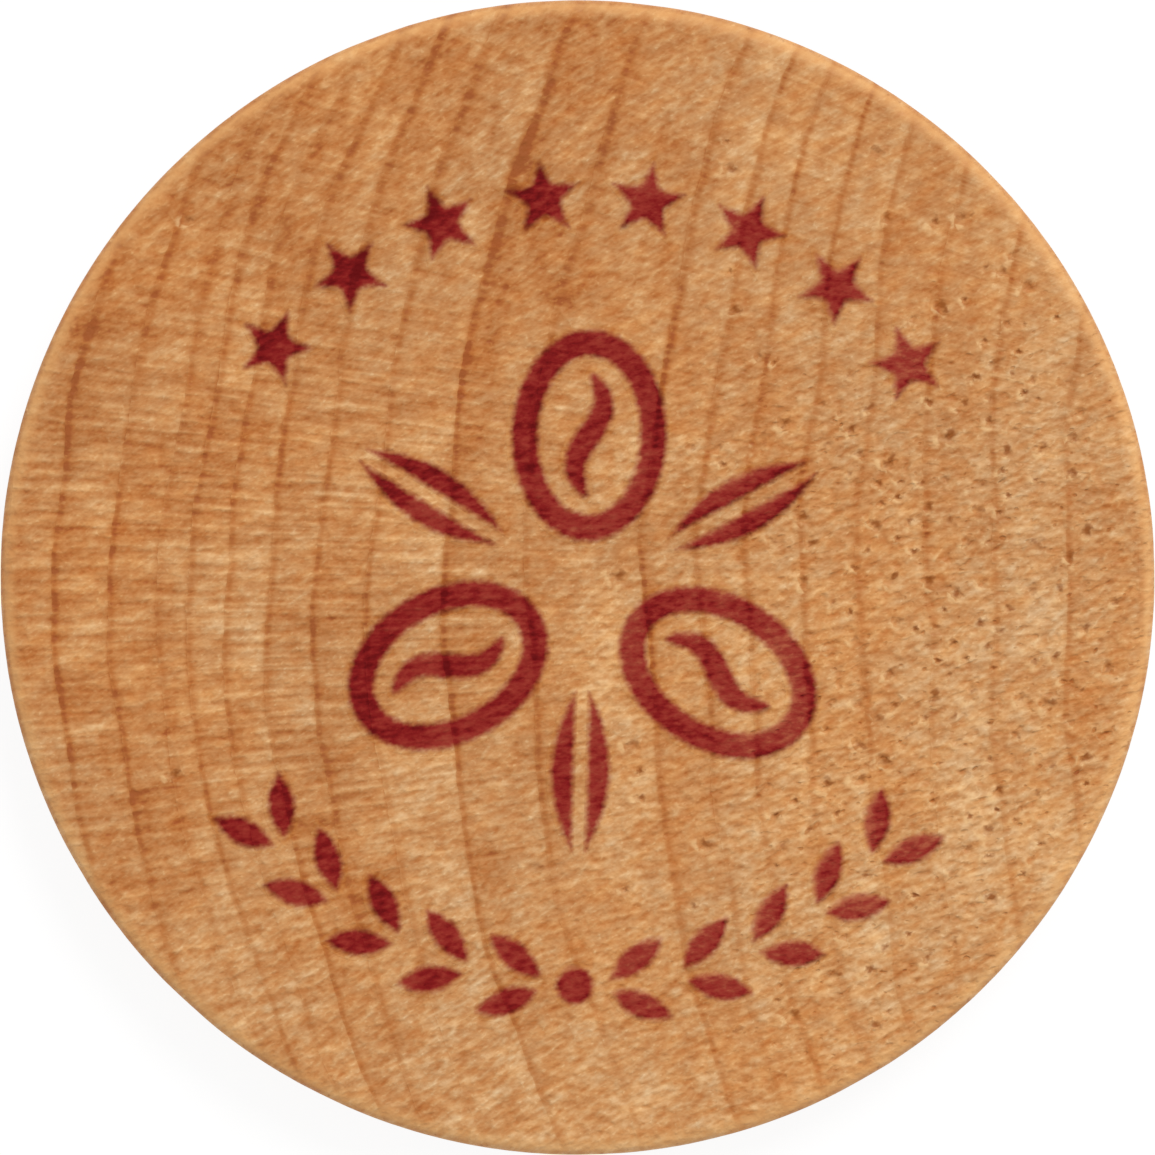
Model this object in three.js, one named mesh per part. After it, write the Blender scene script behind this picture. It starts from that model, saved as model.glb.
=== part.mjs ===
// A wooden nickel: a round token sawn from a hardwood blank, with a design printed in ink on one face.
// Millimetres, +Z up. The origin is the middle of the bare back face, and the printed face looks up.
import * as THREE from "three";

// The blank: a flat disc whose two edges are worn round
const DISC_DIAMETER = 38.1;
const DISC_THICKNESS = 3.2;
const EDGE_ROUND = 0.6;

// The print as a whole: one film of ink, stamped a little off centre and a little askew
const INK_FILM = 0.04;
const PRINT_SHIFT_X = 0.25;
const PRINT_SHIFT_Y = -0.45;
const PRINT_TURN_DEG = -1.5;
const RIM_MARGIN = 4.7;

// A row of five-pointed stars along the top of the border
const STAR_COUNT = 8;
const STAR_DIAMETER = 2.7;
const STAR_WAIST = 1.2;
const STAR_GAP = 0.75;

// Two laurel branches along the foot of the border, made of leaf pairs, that meet at a berry
const LAUREL_PAIRS = 5;
const LAUREL_LEAF_LENGTH = 2.3;
const LAUREL_LEAF_WIDTH = 0.95;
const LAUREL_SPREAD_DEG = 30;
const LAUREL_STEM_GAP = 0.3;
const LAUREL_PAIR_GAP = 0.35;
const BERRY_DIAMETER = 1.3;

// The rosette in the middle: beans drawn in outline with a creased middle, and a leaf between each two
const FIELD_CLEARANCE = 2.95;
const BEAN_COUNT = 3;
const BEAN_HUB_RADIUS = 1.6;
const BEAN_WIDTH = 5.2;
const BEAN_STROKE = 0.95;
const CREASE_STROKE = 0.9;
const CREASE_SWAY = 0.45;
const CREASE_END_GAP = 0.5;
const SPRIG_HUB_RADIUS = 3.2;
const SPRIG_HALF_WIDTH = 0.8;
const SPRIG_MIDRIB = 0.4;

// How finely the round forms are faceted
const DISC_SEGMENTS = 120;
const EDGE_STEPS = 3;
const LEAF_STEPS = 8;
const ROUND_STEPS = 20;
const CREASE_STEPS = 16;

const wood = new THREE.MeshStandardMaterial({ color: 0xc58a58, roughness: 0.62, metalness: 0 });
const ink = new THREE.MeshStandardMaterial({ color: 0x8e3429, roughness: 0.55, metalness: 0 });

// How far a slanted leaf reaches to each side of its middle, square to the branch
function leafReach(length, width, slant) {
  const rise = length * Math.sin(slant);
  const girth = width * Math.cos(slant);
  const fullest = Math.min(rise / (2 * girth), 1);
  return (rise * fullest + girth * (1 - fullest * fullest)) / 2;
}

// The print is laid out from the rim inwards: the border, a clear band, and the field for the rosette.
const laurelSpread = THREE.MathUtils.degToRad(LAUREL_SPREAD_DEG);
const laurelReach = leafReach(LAUREL_LEAF_LENGTH, LAUREL_LEAF_WIDTH, laurelSpread);
const laurelOffset = LAUREL_STEM_GAP / 2 + laurelReach;
const borderHalf = Math.max(STAR_DIAMETER / 2, laurelOffset + laurelReach);
const borderRadius = DISC_DIAMETER / 2 - RIM_MARGIN - borderHalf;
const fieldRadius = borderRadius - borderHalf - FIELD_CLEARANCE;

// The blank is one turned profile: flat faces, a straight rim and a quarter round at each edge.
function discGeometry() {
  const faceRadius = DISC_DIAMETER / 2 - EDGE_ROUND;
  const profile = new THREE.Path();
  profile.moveTo(0, 0);
  profile.lineTo(faceRadius, 0);
  profile.absarc(faceRadius, EDGE_ROUND, EDGE_ROUND, -Math.PI / 2, 0, false);
  profile.absarc(faceRadius, DISC_THICKNESS - EDGE_ROUND, EDGE_ROUND, 0, Math.PI / 2, false);
  profile.lineTo(0, DISC_THICKNESS);
  return new THREE.LatheGeometry(profile.getPoints(EDGE_STEPS), DISC_SEGMENTS).rotateX(Math.PI / 2);
}

// Outlines of the printed marks follow, each about its own middle with its top towards +Y.

function starOutline() {
  const corners = [];
  for (let i = 0; i < 10; i++) {
    const reach = (i % 2 === 0 ? STAR_DIAMETER : STAR_WAIST) / 2;
    const angle = (i * Math.PI) / 5;
    corners.push(new THREE.Vector2(reach * Math.sin(angle), reach * Math.cos(angle)));
  }
  return new THREE.Shape(corners);
}

// A quadratic curve bulges half as far as its control point, so the control stands a full width out.
function leafOutline(length, width) {
  const outline = new THREE.Shape();
  outline.moveTo(0, -length / 2);
  outline.quadraticCurveTo(width, 0, 0, length / 2);
  outline.quadraticCurveTo(-width, 0, 0, -length / 2);
  return outline;
}

// One side of a leaf whose midrib is left bare; side is +1 or -1
function halfLeafOutline(length, halfWidth, midrib, side) {
  const inner = (side * midrib) / 2;
  const outline = new THREE.Shape();
  outline.moveTo(inner, -length / 2);
  outline.quadraticCurveTo(inner + side * 2 * halfWidth, 0, inner, length / 2);
  return outline;
}

function beanOutline(length) {
  const outline = new THREE.Shape();
  outline.absellipse(0, 0, BEAN_WIDTH / 2, length / 2, 0, 2 * Math.PI, false, 0);
  const inside = new THREE.Path();
  const insideWidth = BEAN_WIDTH - 2 * BEAN_STROKE;
  const insideLength = length - 2 * BEAN_STROKE;
  inside.absellipse(0, 0, insideWidth / 2, insideLength / 2, 0, 2 * Math.PI, true, 0);
  outline.holes.push(inside);
  return outline;
}

// A stroke along one full wave of a sine, widest in the middle and drawn out to its two ends
function creaseOutline(length) {
  const right = [];
  const left = [];
  for (let i = 0; i <= CREASE_STEPS; i++) {
    const turn = (i / CREASE_STEPS) * Math.PI;
    const along = (-length / 2) * Math.cos(turn);
    const phase = (2 * Math.PI * along) / length;
    const middle = new THREE.Vector2(CREASE_SWAY * Math.sin(phase), along);
    const slope = ((2 * Math.PI * CREASE_SWAY) / length) * Math.cos(phase);
    const across = new THREE.Vector2(1, -slope).setLength((CREASE_STROKE / 2) * Math.sin(turn));
    right.push(middle.clone().add(across));
    if (i > 0 && i < CREASE_STEPS) left.unshift(middle.clone().sub(across));
  }
  return new THREE.Shape([...right, ...left]);
}

function dotOutline(diameter) {
  const outline = new THREE.Shape();
  outline.absarc(0, 0, diameter / 2, 0, 2 * Math.PI, false);
  return outline;
}

// One island of the ink film, set at a radius and a clockwise angle from the top of the print.
// Its own top points outwards, turned clockwise by the lean.
function mark(name, outline, curveSegments, angle, radius, lean = 0) {
  const film = new THREE.ExtrudeGeometry(outline, { depth: INK_FILM, bevelEnabled: false, curveSegments });
  const mesh = new THREE.Mesh(film, ink);
  mesh.name = name;
  mesh.position.set(radius * Math.sin(angle), radius * Math.cos(angle), 0);
  mesh.rotation.z = -angle - lean;
  return mesh;
}

function starRow() {
  const row = new THREE.Group();
  const pitch = (STAR_DIAMETER + STAR_GAP) / borderRadius;
  for (let i = 0; i < STAR_COUNT; i++) {
    const angle = (i - (STAR_COUNT - 1) / 2) * pitch;
    row.add(mark(`ink_star_${i + 1}`, starOutline(), 1, angle, borderRadius));
  }
  return row;
}

// Each branch runs from the berry to one side, and its leaves point along it and away from it.
function laurel() {
  const wreath = new THREE.Group();
  wreath.add(mark("ink_berry", dotOutline(BERRY_DIAMETER), ROUND_STEPS, Math.PI, borderRadius));
  const leaf = leafOutline(LAUREL_LEAF_LENGTH, LAUREL_LEAF_WIDTH);
  const leafRun = LAUREL_LEAF_LENGTH * Math.cos(laurelSpread);
  const innerRadius = borderRadius - laurelOffset;
  const pitch = (leafRun + LAUREL_PAIR_GAP) / innerRadius;
  const first = (BERRY_DIAMETER / 2 + LAUREL_PAIR_GAP + leafRun / 2) / innerRadius;
  for (const [branch, side] of [["left", 1], ["right", -1]]) {
    for (let pair = 0; pair < LAUREL_PAIRS; pair++) {
      const angle = Math.PI + side * (first + pair * pitch);
      for (const [edge, outward] of [["outer", 1], ["inner", -1]]) {
        const name = `ink_laurel_${branch}_${edge}_${pair + 1}`;
        const radius = borderRadius + outward * laurelOffset;
        const lean = side * (Math.PI / 2 - outward * laurelSpread);
        wreath.add(mark(name, leaf, LEAF_STEPS, angle, radius, lean));
      }
    }
  }
  return wreath;
}

function rosette() {
  const emblem = new THREE.Group();
  const beanLength = fieldRadius - BEAN_HUB_RADIUS;
  const beanRadius = fieldRadius - beanLength / 2;
  const creaseLength = beanLength - 2 * (BEAN_STROKE + CREASE_END_GAP);
  const sprigLength = fieldRadius - SPRIG_HUB_RADIUS;
  const sprigRadius = fieldRadius - sprigLength / 2;
  const pitch = (2 * Math.PI) / BEAN_COUNT;
  for (let i = 0; i < BEAN_COUNT; i++) {
    const beanAngle = i * pitch;
    const sprigAngle = beanAngle + pitch / 2;
    emblem.add(mark(`ink_bean_${i + 1}_outline`, beanOutline(beanLength), ROUND_STEPS, beanAngle, beanRadius));
    emblem.add(mark(`ink_bean_${i + 1}_crease`, creaseOutline(creaseLength), 1, beanAngle, beanRadius));
    for (const [half, side] of [["left", -1], ["right", 1]]) {
      const sprig = halfLeafOutline(sprigLength, SPRIG_HALF_WIDTH, SPRIG_MIDRIB, side);
      emblem.add(mark(`ink_sprig_${i + 1}_${half}`, sprig, LEAF_STEPS, sprigAngle, sprigRadius));
    }
  }
  return emblem;
}

const disc = new THREE.Mesh(discGeometry(), wood);
disc.name = "wooden_disc";

const print = new THREE.Group();
print.position.set(PRINT_SHIFT_X, PRINT_SHIFT_Y, DISC_THICKNESS);
print.rotation.z = THREE.MathUtils.degToRad(PRINT_TURN_DEG);
print.add(starRow(), laurel(), rosette());

const nickel = new THREE.Group();
nickel.add(disc, print);

export default nickel;
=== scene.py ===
"""The looks of a wooden nickel: a disc of end-grain hardwood with a red-brown print, seen from above."""

import math
import random
from types import SimpleNamespace
from typing import NamedTuple

import bpy
import numpy as np
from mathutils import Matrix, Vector, noise
from mathutils.geometry import delaunay_2d_cdt


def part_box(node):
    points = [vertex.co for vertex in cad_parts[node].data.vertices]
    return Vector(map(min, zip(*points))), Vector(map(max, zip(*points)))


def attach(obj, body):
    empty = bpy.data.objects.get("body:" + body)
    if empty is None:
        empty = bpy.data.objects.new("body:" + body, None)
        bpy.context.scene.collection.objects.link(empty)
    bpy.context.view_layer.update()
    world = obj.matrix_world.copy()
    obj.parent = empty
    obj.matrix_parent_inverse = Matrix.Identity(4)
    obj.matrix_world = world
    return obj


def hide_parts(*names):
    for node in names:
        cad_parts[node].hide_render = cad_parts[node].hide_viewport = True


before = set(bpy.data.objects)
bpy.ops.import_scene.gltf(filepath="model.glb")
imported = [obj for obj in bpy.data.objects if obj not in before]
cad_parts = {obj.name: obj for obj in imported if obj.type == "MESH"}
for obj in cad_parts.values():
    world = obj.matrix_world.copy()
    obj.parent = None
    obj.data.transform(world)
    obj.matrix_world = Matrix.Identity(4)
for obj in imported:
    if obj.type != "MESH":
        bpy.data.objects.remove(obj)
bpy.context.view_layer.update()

# Lengths below are in millimetres, and the scene is in metres.
MM = 0.001
SEED = 11

# The blank, whose size comes from the frame
disc_low, disc_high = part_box("wooden_disc")
DISC_RADIUS = (disc_high.x - disc_low.x) / 2 / MM
DISC_TOP = disc_high.z / MM
DISC_BOTTOM = disc_low.z / MM
EDGE_ROUND = 0.6
FACE_RADIUS = DISC_RADIUS - EDGE_ROUND
RIM_POINTS = 420
EDGE_STEPS = 8
WALL_STEPS = 9
TOP_SPACING = 0.17
BACK_SPACING = 0.36

# Knocks round the rim: how far they go in, how many there are round it and down it, and a finer layer of them
RIM_WEAR = 0.025
DENTS_ROUND = 9
DENTS_DOWN = 0.9
FINE_DENT_SCALE = 4.1
FINE_DENT_SHARE = 0.4

# Small torn pits, most of them to the right of the middle and below it
PIT_COUNT = 205
BACK_PIT_COUNT = 60
PIT_FIELD_MIDDLE = (12.0, -4.5)
PIT_FIELD_SPREAD = (3.9, 7.5)
PIT_STRAY_SHARE = 0.04
PIT_CLUSTER_SHARE = 0.4
PIT_CLUSTER_SPREAD = 0.5
PIT_HALF_LENGTH = (0.13, 0.32)
PIT_SHORT_BIAS = 1.3
PIT_WIDTH_SHARE = (0.5, 0.85)
PIT_TURN_DEG = 30
PIT_DARKNESS = (0.38, 0.92)
PIT_DEPTH = 0.08
PIT_INK_CLEARANCE = 0.4

# How often a pit's outline swells on its way round, and by how much; the first swelling lies anywhere
# within about one turn
PIT_LOBES = ((2, 0.2), (3, 0.24), (5, 0.16))
PIT_LOBE_START = 6.3

# In half lengths of a pit: how far it keeps from the rim, and from another pit for both their half lengths
PIT_RIM_CLEARANCE = 2.5
PIT_PIT_CLEARANCE = 1.6

# Growth rings run as arcs about a pith far to the right of the disc. The bend is that of a ring through the
# middle of the disc, and it falls by so much for each millimetre towards the pith.
PITH = (45.0, -0.5)
RING_BEND = 0.0214
RING_BEND_FALL = 0.00048

# Each ring line by its distance from the middle of the disc, outwards from the pith, and how strongly it shows
RING_LINES = (
    (-24.0, 0.5), (-21.0, 0.5), (-18.6, 0.5), (-16.0, 0.55), (-13.4, 0.6), (-11.2, 0.6),
    (-9.1, 0.5), (-7.3, 0.7), (-5.5, 0.75), (-4.0, 0.7), (-2.2, 0.95), (1.7, 0.9),
    (4.4, 1.1), (6.9, 0.8), (8.7, 0.9), (10.2, 0.9), (11.5, 0.75), (12.7, 1.0),
    (13.7, 0.55), (15.4, 0.85), (17.3, 0.95), (19.0, 0.6), (21.0, 0.75), (24.0, 0.6),
)
FULL_STRENGTH = 1.2
WIDEST_RING = 5.0
RING_WIDTH_STEP = 0.12
LINE_INSET = 0.1
LINE_SPREAD = 0.12

# Tones at a ring line: the line itself, the shade that leads up to it, and the pale stripe beyond it
LATE_WOOD_LINE = 0.28
LATE_WOOD_SHADE = 0.13
EARLY_WOOD_STRIPE = 0.1
SHADE_BEFORE = 1.0
SHADE_BEYOND = 0.12
STRIPE_END = 0.45
STRIPE_START = 0.15

# How steeply the strokes in the wood rise to the right, and how far out their painted lit and shaded sides lie
FLECK_RISE_DEG = 22.0
GRIT_RISE_DEG = 30.0
STROKE_RISE_DEG = 38.0
PAINTED_EMBOSS_STEP = 0.07


class Pattern(NamedTuple):
    """Noise about zero: features to the millimetre along three axes, levels of detail and their strength.

    With a band it becomes single marks: 0 where the noise is below the band, and 1 where it is above.
    """

    scales: tuple
    detail: float = 1.0
    roughness: float = 0.5
    band: tuple = ()


# Patterns of the rings, along a ring and across it, or along X, Y and Z
RING_WAVER = Pattern((0.12, 0.12, 0.02))
RING_TREMOR = Pattern((0.7, 0.7, 0.05))
RING_STEPS = Pattern((3.0, 0.12, 0.05))
RING_PATCHES = Pattern((0.22, 3.7, 0.0))
RING_TINT = Pattern((0.05, 7.3, 0.0), detail=0.0)
RAY = Pattern((5.4, 0.4, 0.35))
HAIR = Pattern((3.0, 0.05, 0.0), band=(0.14, 0.24))

# How far each pattern moves a ring line
WAVER_REACH = 1.4
TREMOR_REACH = 0.14
STEP_REACH = 0.12
FLECK_REACH = 0.05

# Patterns of the surface, along the strokes, across them and down, or along X, Y and Z
FLECK = Pattern((1.6, 4.4, 0.25), roughness=0.6)
STROKE = Pattern((1.6, 5.0, 0.25), roughness=0.6)
SWELL = Pattern((2.2, 3.8, 0.25))
GRIT = Pattern((5.0, 9.0, 0.25))
TORN = Pattern((2.0, 3.8, 0.3), band=(0.05, 0.3))
SPECK = Pattern((3.0, 4.6, 0.3), band=(0.15, 0.3))
# Painted highlights: small glints
PAINTED_GLINT = Pattern((6.0, 9.0, 0.3), detail=0.0, band=(0.17, 0.3))
WARM_SPOTS = Pattern((1.1, 2.2, 0.25))
NAP = Pattern((2.3, 2.8, 0.25), detail=2.0)
MOTTLE = Pattern((0.8, 0.8, 0.25), detail=2.0)
BLOTCH = Pattern((0.22, 0.22, 0.05), detail=2.0)
WARM_DRIFT = Pattern((0.16, 0.16, 0.05))
PORE = Pattern((6.5, 6.5, 0.8), band=(0.1, 0.28))

# Parts of the disc where something shows: from which place to which it comes in, across and up
UPPER_PART = ((9.0, -1.0), (4.0, 12.0))
LOWER_PART = ((6.0, -4.0), (-6.0, -13.0))
TORN_PART = ((0.0, 9.0), (14.0, 4.0))
TOP_BAND = (3.0, 12.0)

# The same by the distance from the axis: the rounded edge, where a highlight is painted, and the wall of the
# rim
EDGE_HIGHLIGHT_BAND = (FACE_RADIUS - 0.1, FACE_RADIUS + 0.4)
RIM_WALL = (DISC_RADIUS - 0.25, DISC_RADIUS - 0.1)

# Shares that change over the disc: the two places between which they change, and the share at each
RAYS_ACROSS = (-12.0, 8.0, 1.0, 0.25)
RAYS_UP = (-5.0, -13.0, 1.0, 0.5)
FLECKS_ACROSS = (-12.0, 6.0, 0.4, 0.82)
# Where the painted light and shade of the strokes, and their swell, show
EMBOSS_UP = (*TOP_BAND, 1.0, 0.3)
LINES_ALONG = (-13.0, 0.0, 0.65, 1.05)
LINES_OUTWARD = (2.0, -4.0, 1.0, 1.35)
LINES_BY_PATCH = (-0.16, 0.16, 0.6, 1.2)
LINE_BREAKS_AT_RAYS = 2.0
UPPER_LINE_WIDENING = 0.4
UPPER_RAY_LOSS = 0.6

# How much paler each pattern makes the wood, or how much darker below zero; where a value changes
# over the disc, it is written as the shares above are
WOOD_TONE = 0.495
RAY_TONE = 0.95
FLECK_TONE_UP = (*TOP_BAND, 0.38, 0.75)
# Painted light and shade: how much paler the lit sides of the strokes are, and the shaded sides darker
PAINTED_EMBOSS_TONE = 0.6
STROKE_TONE = 0.65
GRIT_TONE = 0.4
NAP_TONE = 0.5
MOTTLE_TONE = 0.55
UPPER_MOTTLE_TONE = 0.15
RING_TINT_TONE = 0.26
HAIR_TONE = 0.13
# Painted highlights: how much the small glints lighten the wood
PAINTED_GLINT_TONE = 0.14
BLOTCH_TONE = 0.42
TORN_TONE = -0.16
SPECK_TONE = -0.24
TONE_PER_MM_ACROSS = 0.0044
TONE_PER_MM_UP = (-4.0, 10.0, -0.004, -0.0025)
LATE_WOOD_CALM = 2.0
MOST_CALM = 0.7

# How much warmer each pattern makes the wood, or how much cooler below zero
WOOD_WARMTH = 0.45
DRIFT_WARMTH = 1.3
SPOT_WARMTH_ACROSS = (-8.0, 8.0, 1.3, 1.8)
RAY_WARMTH = 0.8
LATE_WOOD_WARMTH = -0.3
# Painted light and shade in the tint: cooler on the lit sides of the strokes, warmer on the shaded ones
PAINTED_EMBOSS_WARMTH = -0.4

# How high each pattern stands on the surface
SWELL_HEIGHT = 0.09
GRIT_HEIGHT = 0.025
NAP_HEIGHT_UP = (*TOP_BAND, 0.08, 0.04)
RAY_HEIGHT = 0.06
STROKE_HEIGHT = 0.05
TORN_HEIGHT = -0.035
SPECK_HEIGHT = -0.03
WALL_SMOOTHING = 0.5

# How the patterns break up the colour of a pit, and how strongly pits with their painted shadow, the painted
# highlights on lips and on the rounded edge, and pores show
PIT_NAP = 1.6
PIT_GRIT = 0.8
PIT_FLECK = 0.6
PIT_SHOWS = (0.05, 0.9, 0.0, 0.85)
PIT_ENDS = (0.0, 0.15)
LIP_HIGHLIGHT_SHOWS = (0.0, -0.3, 0.0, 0.6)
LIP_HIGHLIGHT_NAP = (-0.16, 0.08)
EDGE_HIGHLIGHT_SHOWS = 0.5
WALL_SHOWS_LESS = 0.28
PORE_SHOWS = 0.55

# Roughness and gloss of the wood and of the ink
WOOD_ROUGHNESS = 0.55
FLECK_ROUGHNESS = 0.5
WOOD_SPECULAR = 0.15
INK_ROUGHNESS = 0.65
INK_SPECULAR = 0.06

# The film of ink: its two sides above the disc, the feather past its outline, and how finely it is faceted
INK_TOP = 0.005
INK_BOTTOM = 0.001
INK_FEATHER = 0.145
INK_SPACING = 0.085
INK_GRID_CLEARANCE = 0.55
INK_DRAWN_SPACING = 0.06
INK_BORDER_SPACING = 0.12
INK_CORNER_SOFTENING = 3

# How deep the ink is: less towards the right and the foot, uneven, and deeper along the lower right edge of a
# mark, as painted shade of a pressed-in edge
INK_DEPTH = 0.56
INK_DEPTH_PER_MM_ACROSS = -0.0155
INK_DEPTH_PER_MM_UP = 0.006
INK_LOAD = Pattern((0.5, 0.5, 0.0), detail=2.0)
INK_LOAD_DEPTH = 0.6
INK_STREAK = Pattern((2.2, 5.5, 0.0), detail=3.0, roughness=0.65)
INK_STREAK_DEPTH_ACROSS = (-9.0, 7.0, 0.6, 1.3)
INK_TONE_DEPTH = -0.8
INK_FLECK_DEPTH = 0.7
INK_EDGE_SHADE_OFFSET = (0.07, -0.07)
INK_EDGE_SHADE_DEPTH = 0.45
INK_EDGE_SHADE_BAND = (0.34, 0.04)
INK_EDGE_SHADE_ACROSS = (-4.0, 8.0)

# How ragged the ink's edge is, and from where to where it grows from bare wood to full cover
INK_RAGGED = Pattern((6.0, 6.0, 0.0), detail=2.0)
INK_RAGGED_REACH = 0.14
INK_COVER_BAND = (-0.12, 0.18)
INK_FEATHER_FADE = 0.6

# The camera looks straight down, and the disc just fills the picture.
CAMERA_LENS = 150.0
SENSOR = 36.0
PICTURE_FILL = 0.9995

# The light: a soft key from the upper right, and an even surround
KEY_FROM = (0.55, 0.95, 1.25)
KEY_STRENGTH = 1.75
KEY_SOFTNESS_DEG = 24.0
SURROUND_STRENGTH = 0.6

# The floor
FLOOR_HALF = 1500.0
FLOOR_DROP = 0.02
FLOOR_GREY = 0.9
FLOOR_SEEN_GREY = 0.12
FLOOR_GLOW = 0.9

# Below this distance two points of a mesh count as one
SAME_POINT = 1e-7


def srgb(red, green, blue):
    """A colour as seen on the screen, from 0 to 255, as the linear colour that a shader takes."""
    def linear(value):
        share = value / 255
        return share / 12.92 if share <= 0.04045 else ((share + 0.055) / 1.055) ** 2.4
    return (linear(red), linear(green), linear(blue), 1.0)


def grey(level):
    return (level, level, level, 1)


# Colours of the wood from dark to pale, by tone, and of the ink from thin to thick, by depth
WOOD_COLOURS = (
    (0.0, srgb(160, 84, 36)),
    (0.18, srgb(181, 110, 54)),
    (0.39, srgb(194, 131, 77)),
    (0.5, srgb(201, 142, 88)),
    (0.61, srgb(208, 154, 101)),
    (0.76, srgb(219, 170, 119)),
    (0.87, srgb(226, 181, 130)),
    (1.0, srgb(233, 192, 142)),
)
COOL_TINT = (0.94, 1.0, 1.09, 1.0)
WARM_TINT = (1.066, 1.0, 0.87, 1.0)
# A pit's own dark colour, which also carries its painted shadow, and the highlight painted along a pit's lip
PIT_DARK_AND_SHADE_COLOUR = srgb(142, 72, 10)
LIP_HIGHLIGHT_COLOUR = srgb(234, 190, 134)
# The painted highlight on the rounded edge
EDGE_HIGHLIGHT_COLOUR = srgb(238, 182, 118)
PORE_COLOUR = srgb(160, 98, 50)
INK_COLOURS = (
    (0.0, srgb(169, 85, 59)),
    (0.3, srgb(151, 57, 43)),
    (0.5, srgb(146, 45, 36)),
    (0.75, srgb(129, 23, 23)),
    (1.0, srgb(100, 9, 12)),
)


class Graph:
    """Adds nodes to one tree, so that a formula reads as a line of code."""

    def __init__(self, tree):
        self.tree = tree

    def node(self, kind, inputs=None, **settings):
        made = self.tree.nodes.new(kind)
        for name, value in settings.items():
            setattr(made, name, value)
        for key, value in (inputs or {}).items():
            if isinstance(value, bpy.types.NodeSocket):
                self.link(value, made.inputs[key])
            else:
                made.inputs[key].default_value = value
        return made

    def link(self, output, socket):
        self.tree.links.new(output, socket)

    def math(self, operation, *values):
        return self.node("ShaderNodeMath", dict(enumerate(values)), operation=operation).outputs[0]

    def add(self, first, *others):
        for other in others:
            first = self.math("ADD", first, other)
        return first

    def sub(self, first, second):
        return self.math("SUBTRACT", first, second)

    def mul(self, first, *others):
        for other in others:
            first = self.math("MULTIPLY", first, other)
        return first

    def fade(self, distance, reach):
        """1 at no distance, and less by a factor e for each reach."""
        return self.math("EXPONENT", self.mul(distance, -1.0 / reach))

    def hump(self, value, middle, spread):
        """1 at the middle, and less to both sides."""
        away = self.mul(self.sub(value, middle), 1.0 / spread)
        return self.math("EXPONENT", self.mul(away, away, -1.0))

    def smooth(self, value, low, high, from_value=0.0, to_value=1.0):
        """Runs softly between two results as the value goes from low to high, and stays level beyond."""
        made = self.node(
            "ShaderNodeMapRange",
            {"Value": value, "From Min": low, "From Max": high, "To Min": from_value, "To Max": to_value},
            interpolation_type="SMOOTHSTEP",
        )
        return made.outputs["Result"]

    def vector(self, x, y, z):
        return self.node("ShaderNodeCombineXYZ", {"X": x, "Y": y, "Z": z}).outputs[0]

    def pattern(self, axes, kind):
        """The noise or the marks of a Pattern along three axes."""
        place = self.vector(*(self.mul(axis, scale) for axis, scale in zip(axes, kind.scales)))
        made = self.node(
            "ShaderNodeTexNoise",
            {"Vector": place, "Scale": 1.0, "Detail": kind.detail, "Roughness": kind.roughness},
        )
        value = self.sub(made.outputs["Fac"], 0.5)
        return self.smooth(value, *kind.band) if kind.band else value

    def curve(self, value, points, low, high):
        """A line through points of (place, height), with heights from 0 to 1 and places from low to high."""
        share = self.node("ShaderNodeMapRange", {"Value": value, "From Min": low, "From Max": high})
        made = self.node("ShaderNodeFloatCurve", {"Value": share.outputs["Result"]})
        line = made.mapping.curves[0]
        places = [((place - low) / (high - low), height) for place, height in points]
        line.points[0].location = places[0]
        line.points[-1].location = places[-1]
        for place in places[1:-1]:
            line.points.new(*place)
        for point in line.points:
            point.handle_type = "VECTOR"
        made.mapping.update()
        return made.outputs[0]

    def ramp(self, value, stops):
        made = self.node("ShaderNodeValToRGB", {"Fac": value})
        elements = made.color_ramp.elements
        while len(elements) < len(stops):
            elements.new(1.0)
        for element, (place, colour) in zip(elements, stops):
            element.position = place
            element.color = colour
        return made.outputs["Color"]

    def mix(self, share, first, second, blend="MIX"):
        """Two colours mixed; the node's colour sockets are its inputs 6 and 7 and its output 2."""
        inputs = {0: share, 6: first, 7: second}
        return self.node("ShaderNodeMix", inputs, data_type="RGBA", blend_type=blend).outputs[2]

    def place_in_mm(self):
        """The place on the nickel in millimetres, as three values."""
        place = self.node("ShaderNodeTexCoord").outputs["Object"]
        scaled = self.node("ShaderNodeVectorMath", {0: place, "Scale": 1 / MM}, operation="SCALE")
        return tuple(self.node("ShaderNodeSeparateXYZ", {0: scaled.outputs[0]}).outputs)


def new_group(name, inputs, outputs):
    """A node group with named sockets: its tree, its graph, and the sockets to read from and to write to."""
    tree = bpy.data.node_groups.new(name, "ShaderNodeTree")
    for socket in inputs:
        tree.interface.new_socket(socket, in_out="INPUT", socket_type="NodeSocketFloat")
    for socket, kind in outputs.items():
        tree.interface.new_socket(socket, in_out="OUTPUT", socket_type=kind)
    graph = Graph(tree)
    start = graph.node("NodeGroupInput")
    end = graph.node("NodeGroupOutput")
    return tree, graph, start.outputs, end.inputs


# The wood is put together from patterns. The functions below add them to w by name, and the formulas
# that follow read them there.


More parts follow.
